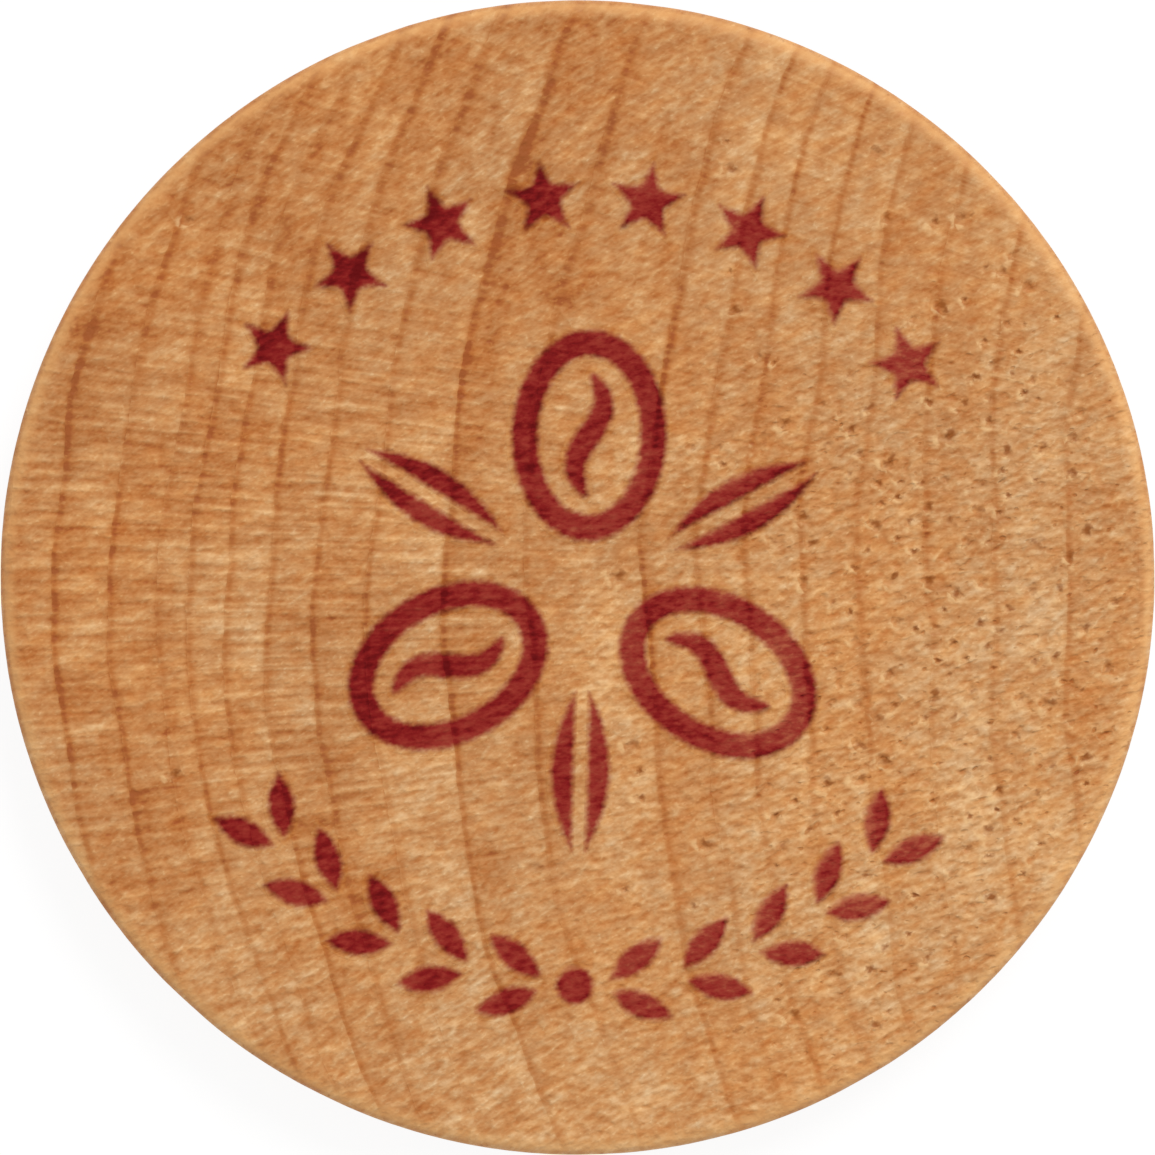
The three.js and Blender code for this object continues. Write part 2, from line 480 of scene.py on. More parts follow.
def add_regions(g, w):
    """How much each pattern shows at a place, by its distance from the middle of the disc."""
    def part(across, up):
        return g.mul(g.smooth(w.x, *across), g.smooth(w.y, *up))

    w.upper = part(*UPPER_PART)
    w.lower = part(*LOWER_PART)
    w.torn_share = part(*TORN_PART)
    w.ray_share = g.mul(part(RAYS_ACROSS, RAYS_UP), g.sub(1.0, g.mul(w.upper, UPPER_RAY_LOSS)))
    w.fleck_share = g.smooth(w.x, *FLECKS_ACROSS)
    w.lit_share = g.mul(w.fleck_share, g.smooth(w.y, *EMBOSS_UP))
    from_axis = g.math("SQRT", g.add(g.mul(w.x, w.x), g.mul(w.y, w.y)))
    # Where the painted highlight on the rounded edge shows
    w.worn_edge = g.smooth(from_axis, *EDGE_HIGHLIGHT_BAND)
    w.wall = g.smooth(from_axis, *RIM_WALL)


def turned(g, w, degrees):
    """The place along and across a line that rises to the right by so many degrees, and the height."""
    cos, sin = math.cos(math.radians(degrees)), math.sin(math.radians(degrees))
    along = g.add(g.mul(w.x, cos), g.mul(w.y, sin))
    across = g.sub(g.mul(w.y, cos), g.mul(w.x, sin))
    return along, across, w.z


def add_strokes(g, w):
    """Short strokes that rise to the right, their lit and shaded sides painted into the colour, and the
    roughness between them.
    """
    w.slanted = turned(g, w, FLECK_RISE_DEG)
    w.fleck = g.pattern(w.slanted, FLECK)
    w.swell = g.pattern(w.slanted, SWELL)
    along, across, height = w.slanted
    below = (along, g.sub(across, PAINTED_EMBOSS_STEP), height)
    above = (along, g.add(across, PAINTED_EMBOSS_STEP), height)
    # Painted light and shade: the swell below less the swell above, paler where the surface faces up towards
    # the light
    w.lit = g.sub(g.pattern(below, SWELL), g.pattern(above, SWELL))
    w.grit = g.pattern(turned(g, w, GRIT_RISE_DEG), GRIT)
    w.nap = g.pattern(w.place, NAP)
    steep = g.pattern(turned(g, w, STROKE_RISE_DEG), STROKE)
    w.stroke = g.mul(steep, g.math("MAXIMUM", w.upper, w.lower))


def add_tears(g, w):
    """Torn strokes and dark specks, to the right and below, and small painted glints all over."""
    w.torn = g.mul(g.pattern(w.slanted, TORN), w.torn_share)
    w.speck = g.mul(g.pattern(w.slanted, SPECK), w.torn_share)
    # Painted highlights: small glints
    w.glint = g.pattern(w.slanted, PAINTED_GLINT)


def add_ring_place(g, w):
    """How far out from the pith a place lies, with a waver, and how far along its ring."""
    inward = g.sub(PITH[0], w.x)
    upward = g.sub(w.y, PITH[1])
    half_square = g.mul(upward, upward, 0.5)
    bent = g.sub(g.mul(half_square, RING_BEND), w.x)
    reach = g.math("DIVIDE", bent, g.sub(1.0, g.mul(half_square, RING_BEND_FALL)))
    w.along = g.mul(g.math("ARCTAN2", upward, inward), PITH[0])
    w.outward = g.add(
        reach,
        g.mul(g.pattern(w.place, RING_WAVER), WAVER_REACH),
        g.mul(g.pattern(w.place, RING_TREMOR), TREMOR_REACH),
        g.mul(w.fleck, FLECK_REACH),
        g.mul(g.pattern((w.along, reach, w.z), RING_STEPS), STEP_REACH),
    )


def ring_curves(g, outward):
    """How many ring lines lie further in, how strongly the lines near by show, and the width of the ring."""
    first, last = RING_LINES[0][0], RING_LINES[-1][0]
    count = len(RING_LINES) - 1
    passed = [(at, i / count) for i, (at, _) in enumerate(RING_LINES)]
    strengths = [(at, strength / FULL_STRENGTH) for at, strength in RING_LINES]
    widths = []
    for (at, _), (after, _) in zip(RING_LINES, RING_LINES[1:]):
        width = (after - at) / WIDEST_RING
        widths += [(at + RING_WIDTH_STEP, width), (after - RING_WIDTH_STEP, width)]
    lines_passed = g.mul(g.curve(outward, passed, first, last), count)
    strength = g.curve(outward, strengths, first, last)
    ring_width = g.mul(g.curve(outward, widths, first, last), WIDEST_RING)
    return lines_passed, strength, ring_width


def add_rings(g, w):
    """Late wood that darkens up to each ring line, a pale stripe beyond it, and rays across the rings."""
    lines_passed, strength, ring_width = ring_curves(g, w.outward)
    w.ring = g.math("FLOOR", lines_passed)
    share = g.math("FRACT", lines_passed)
    to_line = g.mul(g.sub(1.0, share), ring_width)
    from_line = g.mul(share, ring_width)
    w.ray = g.pattern((w.along, w.outward, w.ring), RAY)

    patches = g.pattern((w.along, w.ring, 0.0), RING_PATCHES)
    weight = g.mul(
        strength,
        g.smooth(patches, *LINES_BY_PATCH),
        g.sub(1.0, g.mul(w.ray, LINE_BREAKS_AT_RAYS)),
        g.smooth(w.along, *LINES_ALONG),
        g.smooth(w.outward, *LINES_OUTWARD),
    )
    # Where distances count for less, the lines are wider.
    counted = g.sub(1.0, g.mul(w.upper, UPPER_LINE_WIDENING))
    before = g.hump(g.mul(to_line, counted), LINE_INSET, LINE_SPREAD)
    beyond = g.hump(g.mul(from_line, counted), -LINE_INSET, LINE_SPREAD)
    line = g.add(before, beyond)
    shade = g.math("MAXIMUM", g.fade(to_line, SHADE_BEFORE), g.fade(from_line, SHADE_BEYOND))
    w.late = g.mul(weight, g.add(g.mul(line, LATE_WOOD_LINE), g.mul(shade, LATE_WOOD_SHADE)))
    stripe = g.sub(g.fade(from_line, STRIPE_END), g.fade(from_line, STRIPE_START))
    w.early = g.mul(weight, stripe, EARLY_WOOD_STRIPE)


def wood_tone(g, w):
    """How pale the wood is, from 0 to 1; the late wood is calmer than the rest."""
    lively = g.add(
        g.mul(w.ray, w.ray_share, RAY_TONE),
        g.mul(w.fleck, w.fleck_share, g.smooth(w.y, *FLECK_TONE_UP)),
        # Painted light and shade on the sides of the strokes
        g.mul(w.lit, w.lit_share, PAINTED_EMBOSS_TONE),
        g.mul(w.stroke, STROKE_TONE),
        g.mul(w.grit, GRIT_TONE),
        g.mul(w.nap, NAP_TONE),
        g.mul(g.pattern(w.place, MOTTLE), g.add(MOTTLE_TONE, g.mul(w.upper, UPPER_MOTTLE_TONE))),
    )
    calm = g.sub(1.0, g.math("MINIMUM", g.mul(w.late, LATE_WOOD_CALM), MOST_CALM))
    hair = g.pattern((w.along, w.outward, 0.0), HAIR)
    return g.add(
        WOOD_TONE,
        g.mul(w.late, -1.0),
        w.early,
        g.mul(lively, calm),
        g.mul(g.pattern((w.along, w.ring, 0.0), RING_TINT), RING_TINT_TONE),
        g.mul(hair, w.ray_share, HAIR_TONE),
        # Painted highlights: small glints
        g.mul(w.glint, PAINTED_GLINT_TONE),
        g.mul(g.pattern(w.place, BLOTCH), BLOTCH_TONE),
        g.mul(w.torn, TORN_TONE),
        g.mul(w.speck, SPECK_TONE),
        g.mul(w.x, TONE_PER_MM_ACROSS),
        g.mul(w.y, g.smooth(w.x, *TONE_PER_MM_UP)),
    )


def wood_warmth(g, w):
    """Where the wood's tint lies, from 0 for the cool one to 1 for the warm one."""
    return g.add(
        WOOD_WARMTH,
        g.mul(g.pattern(w.place, WARM_DRIFT), DRIFT_WARMTH),
        g.mul(g.pattern(w.slanted, WARM_SPOTS), g.smooth(w.x, *SPOT_WARMTH_ACROSS)),
        g.mul(w.ray, w.ray_share, RAY_WARMTH),
        g.mul(w.late, LATE_WOOD_WARMTH),
        # Painted light and shade on the sides of the strokes, in the tint
        g.mul(w.lit, w.lit_share, PAINTED_EMBOSS_WARMTH),
    )


def with_pits(g, w, colour, pit):
    """The colour with dark, uneven pits, with painted shadow on their upper right, and a highlight painted
    along their lips.
    """
    uneven = g.add(pit, g.mul(w.nap, PIT_NAP), g.mul(w.grit, PIT_GRIT), g.mul(w.fleck, PIT_FLECK))
    # The pit value carries the pit's dark colour with its painted shadow, and below zero the lip's painted
    # highlight
    dark_and_shade = g.mul(g.smooth(uneven, *PIT_SHOWS), g.smooth(pit, *PIT_ENDS))
    lip_highlight = g.mul(g.smooth(pit, *LIP_HIGHLIGHT_SHOWS), g.smooth(w.nap, *LIP_HIGHLIGHT_NAP))
    return g.mix(lip_highlight, g.mix(dark_and_shade, colour, PIT_DARK_AND_SHADE_COLOUR), LIP_HIGHLIGHT_COLOUR)


def with_rim(g, w, colour):
    """The colour with a highlight painted on the rounded edge, which makes it paler, and with pores down the
    wall of the rim.
    """
    # Painted highlight: the rounded edge made paler, less so down the wall
    paler = g.mul(w.worn_edge, g.sub(EDGE_HIGHLIGHT_SHOWS, g.mul(w.wall, WALL_SHOWS_LESS)))
    pore = g.mul(g.pattern(w.place, PORE), w.wall, PORE_SHOWS)
    return g.mix(pore, g.mix(paler, colour, EDGE_HIGHLIGHT_COLOUR), PORE_COLOUR)


def wood_height(g, w):
    """How high the surface stands, in millimetres; the wall of the rim is smoother than the faces."""
    height = g.add(
        g.mul(w.swell, w.lit_share, SWELL_HEIGHT),
        g.mul(w.grit, GRIT_HEIGHT),
        g.mul(w.nap, g.smooth(w.y, *NAP_HEIGHT_UP)),
        g.mul(w.ray, w.ray_share, RAY_HEIGHT),
        g.mul(w.stroke, STROKE_HEIGHT),
        g.mul(w.torn, TORN_HEIGHT),
        g.mul(w.speck, SPECK_HEIGHT),
    )
    return g.mul(height, g.sub(1.0, g.mul(w.wall, WALL_SMOOTHING)))


def wood_group():
    """The wood in all directions: rings and fibres run through the disc, so its faces and its rim agree."""
    outputs = {"Color": "NodeSocketColor"}
    outputs.update(dict.fromkeys(("Tone", "Fleck", "Height"), "NodeSocketFloat"))
    tree, g, given, out = new_group("wood_grain", ["Pit"], outputs)
    place = g.place_in_mm()
    w = SimpleNamespace(place=place, x=place[0], y=place[1], z=place[2])
    add_regions(g, w)
    add_strokes(g, w)
    add_tears(g, w)
    add_ring_place(g, w)
    add_rings(g, w)
    tone = wood_tone(g, w)
    tint = g.mix(wood_warmth(g, w), COOL_TINT, WARM_TINT)
    colour = g.mix(1.0, g.ramp(tone, WOOD_COLOURS), tint, "MULTIPLY")
    colour = with_rim(g, w, with_pits(g, w, colour, given["Pit"]))
    g.link(colour, out["Color"])
    g.link(tone, out["Tone"])
    g.link(w.fleck, out["Fleck"])
    g.link(wood_height(g, w), out["Height"])
    return tree


def new_material(name):
    made = bpy.data.materials.new(name)
    made.use_nodes = True
    graph = Graph(made.node_tree)
    shader = made.node_tree.nodes["Principled BSDF"]
    return made, graph, shader


def attribute(g, name):
    return g.node("ShaderNodeAttribute", attribute_name=name).outputs["Fac"]


def bumped(g, height):
    return g.node("ShaderNodeBump", {"Strength": 1.0, "Distance": MM, "Height": height}).outputs[0]


def wood_material(grain):
    made, g, shader = new_material("bare_wood")
    # The pit attribute carries each pit's dark colour with its painted shadow, and below zero the painted
    # highlight of its lip
    wood = g.node("ShaderNodeGroup", {"Pit": attribute(g, "pit")}, node_tree=grain).outputs
    g.link(wood["Color"], shader.inputs["Base Color"])
    g.link(g.add(WOOD_ROUGHNESS, g.mul(wood["Fleck"], FLECK_ROUGHNESS)), shader.inputs["Roughness"])
    g.link(bumped(g, wood["Height"]), shader.inputs["Normal"])
    shader.inputs["Specular IOR Level"].default_value = WOOD_SPECULAR
    return made


def ink_cover(g, place, fleck, edge):
    """How much of the wood the ink hides: all of it inside a mark, and none of it where the film ends."""
    ragged = g.mul(g.add(g.pattern(place, INK_RAGGED), fleck), INK_RAGGED_REACH)
    soaked = g.smooth(g.add(edge, ragged), *INK_COVER_BAND)
    feather = g.smooth(edge, -INK_FEATHER, -INK_FEATHER_FADE * INK_FEATHER)
    return g.mul(soaked, feather)


def ink_material(grain):
    """Ink that has soaked into the wood: heavy on the left, thin on the right, and soft along its edges."""
    made, g, shader = new_material("printing_ink")
    wood = g.node("ShaderNodeGroup", node_tree=grain).outputs
    place = g.place_in_mm()
    x, y, _ = place
    edge = attribute(g, "ink_edge")
    # Painted shade: the ink is deeper along the lower right edge of the marks on the right, as the shadow of a
    # pressed-in edge
    near_edge = g.mul(g.smooth(edge, *INK_EDGE_SHADE_BAND), g.smooth(x, *INK_EDGE_SHADE_ACROSS))
    depth = g.add(
        INK_DEPTH,
        g.mul(x, INK_DEPTH_PER_MM_ACROSS),
        g.mul(y, INK_DEPTH_PER_MM_UP),
        g.mul(g.pattern(place, INK_LOAD), INK_LOAD_DEPTH),
        g.mul(g.pattern(place, INK_STREAK), g.smooth(x, *INK_STREAK_DEPTH_ACROSS)),
        g.mul(g.sub(wood["Tone"], WOOD_TONE), INK_TONE_DEPTH),
        g.mul(wood["Fleck"], INK_FLECK_DEPTH),
        # Painted shade along the lower right edge of a mark
        g.mul(attribute(g, "ink_edge_shade"), near_edge, INK_EDGE_SHADE_DEPTH),
    )
    cover = ink_cover(g, place, wood["Fleck"], edge)
    g.link(g.mix(cover, wood["Color"], g.ramp(depth, INK_COLOURS)), shader.inputs["Base Color"])
    g.link(bumped(g, wood["Height"]), shader.inputs["Normal"])
    shader.inputs["Roughness"].default_value = INK_ROUGHNESS
    shader.inputs["Specular IOR Level"].default_value = INK_SPECULAR
    return made


def rings_of_points(radius, spacing):
    """Points in rings of 6, 12, 18 and so on, about evenly spaced, up to one spacing short of the radius."""
    count = int(radius / spacing)
    points = [(0.0, 0.0)]
    for ring in range(1, count):
        reach = radius * ring / count
        for step in range(6 * ring):
            turn = 2 * math.pi * (step + 0.5 * (ring % 2)) / (6 * ring)
            points.append((reach * math.cos(turn), reach * math.sin(turn)))
    return np.array(points)


def circle_of_points(radius, count):
    turns = np.arange(count) * (2 * math.pi / count)
    return np.column_stack((radius * np.cos(turns), radius * np.sin(turns)))


def triangulated(points, edges=()):
    """The triangles between the points, counter-clockwise seen from above, with the edges kept."""
    found = delaunay_2d_cdt([Vector(p) for p in points], list(edges), [], 0, SAME_POINT)
    return found[2]


def lies_inside(points, starts, ends):
    """Whether each point lies inside the closed lines, by how often a ray to the right meets them."""
    px, py = points[:, :1], points[:, 1:]
    x0, y0 = starts[:, 0], starts[:, 1]
    x1, y1 = ends[:, 0], ends[:, 1]
    spans = (y0 > py) != (y1 > py)
    rise = np.where(y1 == y0, 1.0, y1 - y0)
    meets = x0 + (py - y0) * (x1 - x0) / rise
    return (np.count_nonzero(spans & (px < meets), axis=1) % 2) == 1


def distance_to(points, starts, ends):
    """The distance from each point to the nearest of the line pieces."""
    along = ends - starts
    length = np.maximum((along ** 2).sum(1), 1e-12)
    offset = points[:, None, :] - starts[None, :, :]
    share = np.clip((offset * along[None]).sum(2) / length, 0, 1)
    gap = offset - share[..., None] * along[None]
    return np.sqrt((gap ** 2).sum(2).min(1))


def depth_inside(points, lines):
    """How far inside the outline each point lies, or how far outside as a value below zero."""
    depth = distance_to(points, *lines)
    return np.where(lies_inside(points, *lines), depth, -depth)


def line_pieces(loops):
    """The starts and the ends of all the lines in the loops."""
    starts = np.vstack(loops)
    ends = np.vstack([np.roll(loop, -1, axis=0) for loop in loops])
    return starts, ends


def border_edges(node):
    """The edges of a flat node's upper face that only one of its triangles has, from corner to corner."""
    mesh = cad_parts[node].data
    corners = [tuple(round(c / MM, 4) for c in vertex.co) for vertex in mesh.vertices]
    edges = {}
    for face in mesh.polygons:
        if face.normal.z < 0.5:
            continue
        loop = [corners[i] for i in face.vertices]
        for start, end in zip(loop, loop[1:] + loop[:1]):
            if (end, start) in edges:
                del edges[(end, start)]
            else:
                edges[(start, end)] = True
    return list(edges)


def outline_loops(node):
    """The outlines of a flat node in millimetres: outer lines counter-clockwise, holes clockwise."""
    following = dict(border_edges(node))
    loops = []
    while following:
        start = next(iter(following))
        loop = [start]
        while (corner := following.pop(loop[-1])) != start:
            loop.append(corner)
        loops.append(np.array(loop)[:, :2])
    return loops


def denser(loop, spacing):
    """The loop with points added so that none are further apart than the spacing."""
    points = []
    for start, end in zip(loop, np.roll(loop, -1, axis=0)):
        steps = max(1, math.ceil(np.hypot(*(end - start)) / spacing))
        points += [start + (end - start) * step / steps for step in range(steps)]
    return np.array(points)


def softened(loop, rounds):
    """The loop with its corners rounded off, by moving each point towards its neighbours."""
    for _ in range(rounds):
        loop = (np.roll(loop, 1, axis=0) + 2 * loop + np.roll(loop, -1, axis=0)) / 4
    return loop


def grown(loop, margin):
    """The loop moved out by a margin; the points of its sharpest corners move out less than they might."""
    ahead = np.roll(loop, -1, axis=0) - loop
    ahead /= np.maximum(np.hypot(ahead[:, 0], ahead[:, 1]), 1e-9)[:, None]
    out = np.column_stack((ahead[:, 1], -ahead[:, 0]))
    middle = out + np.roll(out, 1, axis=0)
    stretch = np.maximum((middle * out).sum(1), 0.35)
    return loop + middle * (margin / stretch)[:, None]


def mesh_object(name, vertices, faces, material, smooth):
    mesh = bpy.data.meshes.new(name)
    mesh.from_pydata([tuple(v) for v in np.asarray(vertices) * MM], [], faces)
    mesh.polygons.foreach_set("use_smooth", [smooth] * len(mesh.polygons))
    mesh.materials.append(material)
    made = bpy.data.objects.new(name, mesh)
    bpy.context.scene.collection.objects.link(made)
    return made


def set_values(mesh, name, values):
    mesh.attributes.new(name, "FLOAT", "POINT").data.foreach_set("value", np.asarray(values, np.float32))


class Pit:
    """A small torn hollow of uneven outline, longest along the flecks, with a lip on its lower left."""

    # Shares of the way from the middle to the edge: rings of points with their counts, where the points of
    # the face start, and where the pit's shape ends
    RINGS = ((0.4, 6), (0.75, 10), (1.0, 12), (1.3, 12))
    CLEAR_TO = 1.6
    ENDS_AT = 2

    # The lip: the share at which it stands, its spread, how soon it is full, its height and its painted
    # highlight
    LIP_AT = 1.25
    LIP_SPREAD = 0.25
    LIP_REACH = 1.4
    LIP_HEIGHT = 0.15
    LIP_PAINTED_HIGHLIGHT = 0.5

    # The hollow: how sharply it drops, how far its dark reaches, and its painted shadow from least to full
    HOLLOW_POWER = 1.6
    DARK_REACH = 1.25
    SHADOW_AT_MIDDLE = 0.85
    SHADOW_SLOPE = 0.5
    SHADOW_LEAST = 0.4

    def __init__(self, rng, x, y):
        shortest, longest = PIT_HALF_LENGTH
        self.middle = np.array((x, y))
        self.length = shortest + (longest - shortest) * rng.random() ** PIT_SHORT_BIAS
        self.width = self.length * rng.uniform(*PIT_WIDTH_SHARE)
        self.turn = math.radians(FLECK_RISE_DEG + rng.uniform(-PIT_TURN_DEG, PIT_TURN_DEG))
        self.darkness = rng.uniform(*PIT_DARKNESS)
        self.depth = PIT_DEPTH * self.darkness
        self.lobes = [(count, rng.uniform(0, PIT_LOBE_START), size) for count, size in PIT_LOBES]

    def swell(self, turns):
        return 1 + sum(size * np.cos(count * turns + start) for count, start, size in self.lobes)

    def outline(self, share, count):
        turns = np.arange(count) * (2 * math.pi / count)
        reach = share * self.swell(turns)
        flat = np.column_stack((np.cos(turns) * reach * self.length, np.sin(turns) * reach * self.width))
        cos, sin = math.cos(self.turn), math.sin(self.turn)
        return self.middle + flat @ np.array(((cos, sin), (-sin, cos)))

    def points(self):
        return np.vstack([self.middle[None]] + [self.outline(*ring) for ring in self.RINGS])

    def share_at(self, points):
        """0 at the middle of the pit and 1 at its edge."""
        cos, sin = math.cos(self.turn), math.sin(self.turn)
        flat = (points - self.middle) @ np.array(((cos, -sin), (sin, cos)))
        u, v = flat[:, 0] / self.length, flat[:, 1] / self.width
        return np.hypot(u, v) / self.swell(np.arctan2(v, u))

    def upper_right_at(self, points):
        """How far a point lies to the upper right of the middle, in half lengths of the pit."""
        away = points - self.middle
        return (away[:, 0] + away[:, 1]) / self.length

    def lip_at(self, points, share):
        """1 along the raised lip on the lower left, and 0 away from it."""
        lower_left = np.clip(-self.upper_right_at(points) / self.LIP_REACH, 0, 1)
        return np.exp(-((share - self.LIP_AT) / self.LIP_SPREAD) ** 2) * lower_left

    def drop_at(self, points, share):
        """How far the surface lies below the face; the lip stands a little above it."""
        hollow = np.clip(1 - share ** 2, 0, 1) ** self.HOLLOW_POWER
        return self.depth * (hollow - self.LIP_HEIGHT * self.lip_at(points, share))

    def shade_at(self, points, share):
        """Up to 1 where the pit is dark, with a painted shadow that is fullest on its upper right, and below 0
        along its lip, where a highlight is painted.
        """
        towards_light = self.SHADOW_SLOPE * self.upper_right_at(points)
        shadow = np.clip(self.SHADOW_AT_MIDDLE + towards_light, self.SHADOW_LEAST, 1)
        dark_and_shade = np.clip(self.DARK_REACH - share, 0, 1) * shadow
        return self.darkness * (dark_and_shade - self.LIP_PAINTED_HIGHLIGHT * self.lip_at(points, share))

    def near_rim(self):
        return np.hypot(*self.middle) > FACE_RADIUS - PIT_RIM_CLEARANCE * self.length

    def near_ink(self, ink_lines):
        return depth_inside(self.middle[None], ink_lines)[0] > -PIT_INK_CLEARANCE

    def near_pit(self, other):
        return np.hypot(*(self.middle - other.middle)) < PIT_PIT_CLEARANCE * (self.length + other.length)


def pit_place(rng, pits):
    """A place near another pit, or anywhere on the face, or most often in the field of pits."""
    if pits and rng.random() < PIT_CLUSTER_SHARE:
        return tuple(rng.gauss(middle, PIT_CLUSTER_SPREAD) for middle in rng.choice(pits).middle)
    if rng.random() < PIT_STRAY_SHARE:
        return rng.uniform(-FACE_RADIUS, FACE_RADIUS), rng.uniform(-FACE_RADIUS, FACE_RADIUS)
    return tuple(rng.gauss(*axis) for axis in zip(PIT_FIELD_MIDDLE, PIT_FIELD_SPREAD))


def place_pits(rng, count, ink_lines=None):
    """So many pits, none of them on the ink, near the rim or in another pit."""
    pits = []
    while len(pits) < count:
        pit = Pit(rng, *pit_place(rng, pits))
        if pit.near_rim():
            continue
        if ink_lines and pit.near_ink(ink_lines):
            continue
        if any(pit.near_pit(other) for other in pits):
            continue
        pits.append(pit)
    return pits


def pitted_face(spacing, pits):
    """Points of a round face with its pits, their triangles, and each point's drop and shade."""
    grid = rings_of_points(FACE_RADIUS, spacing)
    for pit in pits:
        grid = grid[pit.share_at(grid) > Pit.CLEAR_TO]
    points = np.vstack([grid] + [pit.points() for pit in pits] + [circle_of_points(FACE_RADIUS, RIM_POINTS)])
    drop = np.zeros(len(points))
    shade = np.zeros(len(points))
    for pit in pits:
        share = pit.share_at(points)
        near = share < Pit.ENDS_AT
        drop[near] += pit.drop_at(points[near], share[near])
        shade[near] += pit.shade_at(points[near], share[near])
    return points, triangulated(points), drop, shade


def rim_profile():
    """Reach and height of each row round the rim, from the upper face to the back, without those two."""
    rows = []
    for step in range(1, EDGE_STEPS + 1):
        turn = math.pi / 2 * step / EDGE_STEPS
        rows.append((FACE_RADIUS + EDGE_ROUND * math.sin(turn), DISC_TOP - EDGE_ROUND * (1 - math.cos(turn))))
    upper, lower = DISC_TOP - EDGE_ROUND, DISC_BOTTOM + EDGE_ROUND
    for step in range(1, WALL_STEPS + 1):
        rows.append((DISC_RADIUS, upper + (lower - upper) * step / WALL_STEPS))
    for step in range(1, EDGE_STEPS):
        turn = math.pi / 2 * step / EDGE_STEPS
        rows.append((FACE_RADIUS + EDGE_ROUND * math.cos(turn), lower - EDGE_ROUND * math.sin(turn)))
    return rows


def worn_row(reach, height):
    """One row round the rim, worn in a little where the edge has been knocked."""
    row = []
    for cos, sin in circle_of_points(1.0, RIM_POINTS):
        spot = Vector((cos * DENTS_ROUND, sin * DENTS_ROUND, height * DENTS_DOWN))
        dent = max(0.0, noise.noise(spot))
        dent += FINE_DENT_SHARE * max(0.0, noise.noise(spot * FINE_DENT_SCALE))
        worn = reach - RIM_WEAR * dent
        row.append((cos * worn, sin * worn, height))
    return row


def bands(row_starts):
    """The faces between rows of points round the rim, given where each row starts."""
    faces = []
    for upper, lower in zip(row_starts, row_starts[1:]):
        for step in range(RIM_POINTS):
            after = (step + 1) % RIM_POINTS
            faces.append((upper + step, lower + step, lower + after, upper + after))
    return faces


def make_disc(material, ink_lines):
    """The blank as one closed mesh: the upper face, the rows of the rim and the back."""
    rng = random.Random(SEED)
    top, top_faces, top_drop, top_shade = pitted_face(TOP_SPACING, place_pits(rng, PIT_COUNT, ink_lines))
    back, back_faces, back_drop, back_shade = pitted_face(BACK_SPACING, place_pits(rng, BACK_PIT_COUNT))
    rim = np.vstack([worn_row(*row) for row in rim_profile()])
    vertices = np.vstack((
        np.column_stack((top, DISC_TOP - top_drop)),
        rim,
        np.column_stack((back, DISC_BOTTOM + back_drop)),
    ))
    first_back = len(top) + len(rim)
    last_of_top = len(top) - RIM_POINTS
    last_of_back = len(vertices) - RIM_POINTS
    faces = [tuple(face) for face in top_faces]
    faces += bands([*range(last_of_top, first_back, RIM_POINTS), last_of_back])
    faces += [tuple(first_back + i for i in reversed(face)) for face in back_faces]
    disc = mesh_object("wooden_disc_grained", vertices, faces, material, smooth=True)
    # The pit values: each pit's dark colour with its painted shadow, and below zero the painted highlight of
    # its lip
    set_values(disc.data, "pit", np.concatenate((top_shade, np.zeros(len(rim)), back_shade)))
    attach(disc, "root")
    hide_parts("wooden_disc")


def film_grid(loops):
    """Evenly spaced points inside the loops, clear of their lines."""
    lines = line_pieces(loops)
    low, high = lines[0].min(0), lines[0].max(0)
    row_height = INK_SPACING * math.sqrt(3) / 2
    points = []
    for row in range(math.ceil((high[1] - low[1]) / row_height)):
        shift = 0.5 * INK_SPACING * (row % 2)
        across = np.arange(low[0] + shift, high[0], INK_SPACING)
        points.append(np.column_stack((across, np.full(len(across), low[1] + row * row_height))))
    points = np.vstack(points)
    return points[depth_inside(points, lines) > INK_GRID_CLEARANCE * INK_SPACING]


def loop_edges(loops):
    """Pairs of point numbers for the lines of the loops, numbered one loop after another."""
    edges = []
    first = 0
    for loop in loops:
        edges += [(first + i, first + (i + 1) % len(loop)) for i in range(len(loop))]
        first += len(loop)
    return edges


def inside_faces(points, loops):
    """The triangles between the points that lie within the loops, whose points come first."""
    faces = np.array(triangulated(points, loop_edges(loops)))
    middles = points[faces].mean(1)
    return faces[lies_inside(middles, *line_pieces(loops))]


def make_film(node, material):
    """A film of ink that reaches past its outline by the feather, where it thins out to bare wood."""
    loops = outline_loops(node)
    drawn = [softened(denser(loop, INK_DRAWN_SPACING), INK_CORNER_SOFTENING) for loop in loops]
    border = [denser(grown(loop, INK_FEATHER), INK_BORDER_SPACING) for loop in loops]
    rim = np.vstack(border)
    upper = np.vstack((rim, film_grid(border)))
    vertices = np.vstack((
        np.column_stack((upper, np.full(len(upper), DISC_TOP + INK_TOP))),
        np.column_stack((rim, np.full(len(rim), DISC_TOP + INK_BOTTOM))),
    ))
    below = len(upper)
    faces = [tuple(face) for face in inside_faces(upper, border)]
    faces += [tuple(below + i for i in reversed(face)) for face in inside_faces(rim, border)]
    faces += [(here, below + here, below + after, after) for here, after in loop_edges(border)]
    film = mesh_object(node + "_print", vertices, faces, material, smooth=False)

    drawn_lines = line_pieces(drawn)
    edge = depth_inside(upper, drawn_lines)
    # How much nearer the outline each point lies towards the lower right, where the ink material paints shade
    edge_shade = (edge - depth_inside(upper + INK_EDGE_SHADE_OFFSET, drawn_lines)) / np.hypot(*INK_EDGE_SHADE_OFFSET)
    set_values(film.data, "ink_edge", np.concatenate((edge, np.full(len(rim), -INK_FEATHER))))
    set_values(film.data, "ink_edge_shade", np.concatenate((edge_shade, np.zeros(len(rim)))))
    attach(film, "root")
    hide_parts(node)


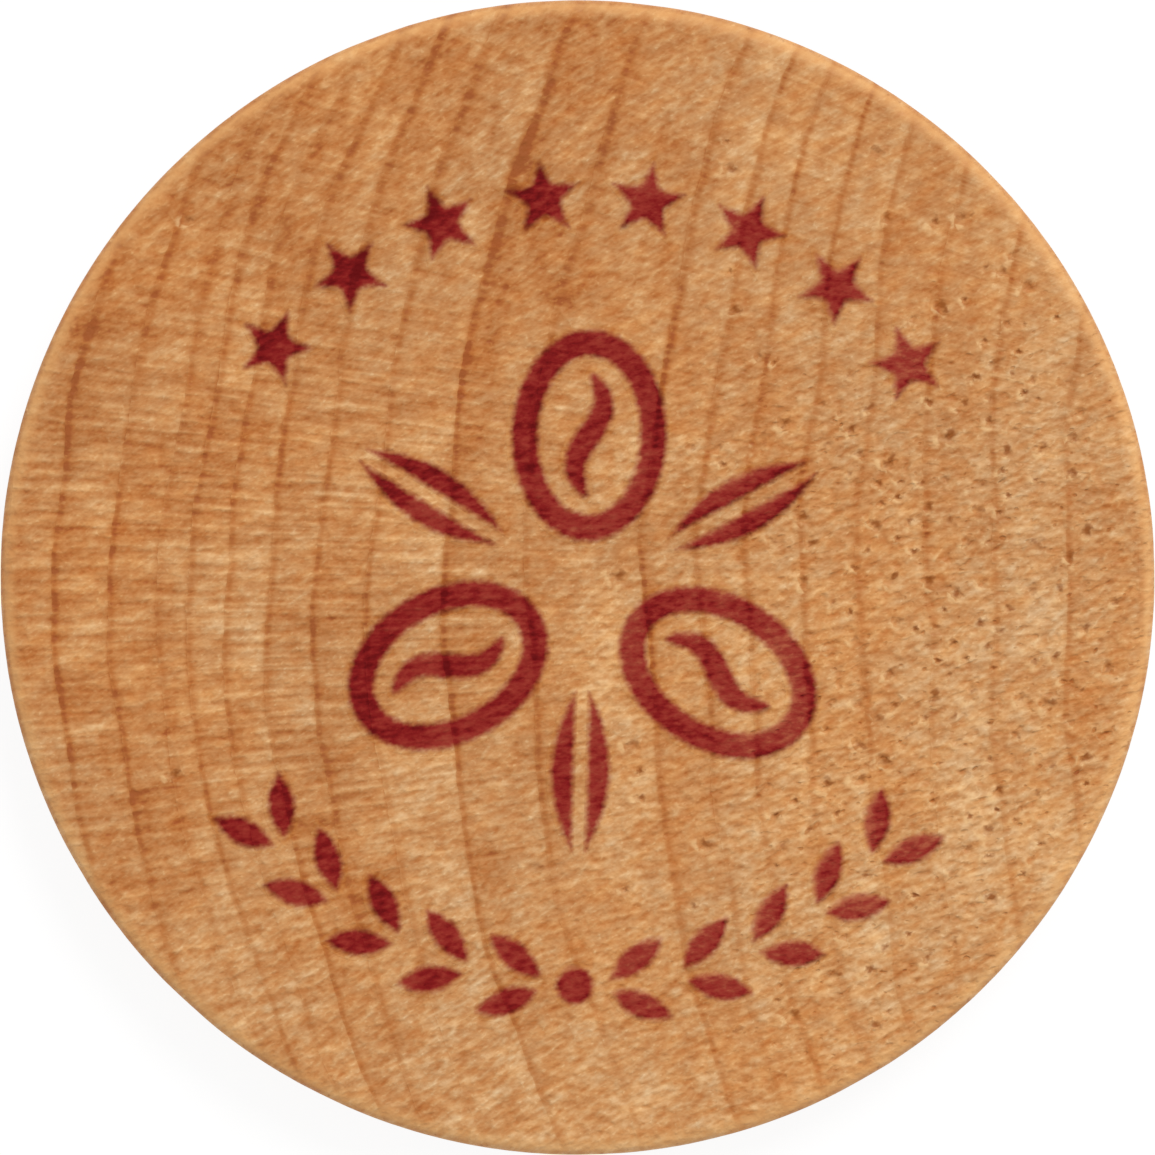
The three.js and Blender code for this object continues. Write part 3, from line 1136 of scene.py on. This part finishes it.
def make_camera():
    """A camera so far above the widest part of the disc that the disc fills the picture."""
    lens = bpy.data.cameras.new("camera")
    lens.lens = CAMERA_LENS
    lens.sensor_width = SENSOR
    widest = DISC_TOP - EDGE_ROUND
    distance = DISC_RADIUS / PICTURE_FILL * CAMERA_LENS / (SENSOR / 2) + widest
    camera = bpy.data.objects.new("camera", lens)
    camera.location = (0, 0, distance * MM)
    bpy.context.scene.collection.objects.link(camera)
    bpy.context.scene.camera = camera


def white_where_seen(g):
    """1 where the camera sees a surface, also reflected or through glass, and 0 where it only lights."""
    path = g.node("ShaderNodeLightPath").outputs
    seen = g.math("MAXIMUM", path["Is Camera Ray"], path["Is Glossy Ray"])
    return g.math("MAXIMUM", seen, path["Is Transmission Ray"])


def make_light():
    lamp = bpy.data.lights.new("key", "SUN")
    lamp.energy = KEY_STRENGTH
    lamp.angle = math.radians(KEY_SOFTNESS_DEG)
    key = bpy.data.objects.new("key", lamp)
    key.rotation_mode = "QUATERNION"
    key.rotation_quaternion = Vector(KEY_FROM).to_track_quat("Z", "Y")
    bpy.context.scene.collection.objects.link(key)

    world = bpy.data.worlds.new("surround")
    bpy.context.scene.world = world
    world.use_nodes = True
    g = Graph(world.node_tree)
    light = world.node_tree.nodes["Background"]
    light.inputs["Color"].default_value = grey(1)
    strength = g.add(SURROUND_STRENGTH, g.mul(white_where_seen(g), 1 - SURROUND_STRENGTH))
    g.link(strength, light.inputs["Strength"])


def make_floor():
    """A pale floor that shows white to the camera but keeps the shadow of the disc."""
    made, g, shader = new_material("floor")
    g.tree.nodes.remove(shader)
    paper = g.node("ShaderNodeBsdfDiffuse", {"Color": grey(FLOOR_GREY)}).outputs[0]
    faint = g.node("ShaderNodeBsdfDiffuse", {"Color": grey(FLOOR_SEEN_GREY)}).outputs[0]
    glow = g.node("ShaderNodeEmission", {"Color": grey(1), "Strength": FLOOR_GLOW}).outputs[0]
    bright = g.node("ShaderNodeAddShader", {0: faint, 1: glow}).outputs[0]
    both = g.node("ShaderNodeMixShader", {0: white_where_seen(g), 1: paper, 2: bright}).outputs[0]
    g.link(both, g.tree.nodes["Material Output"].inputs["Surface"])
    half = FLOOR_HALF
    corners = [(-half, -half), (half, -half), (half, half), (-half, half)]
    vertices = [(x, y, DISC_BOTTOM - FLOOR_DROP) for x, y in corners]
    floor = mesh_object("floor", vertices, [(0, 1, 2, 3)], made, smooth=False)


bpy.context.scene.view_settings.view_transform = "Standard"
make_camera()
make_light()
make_floor()

grain = wood_group()
bare_wood = wood_material(grain)
printing_ink = ink_material(grain)
ink_nodes = sorted(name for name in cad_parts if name.startswith("ink_"))
print_lines = line_pieces([loop for node in ink_nodes for loop in outline_loops(node)])
make_disc(bare_wood, print_lines)
for node in ink_nodes:
    make_film(node, printing_ink)
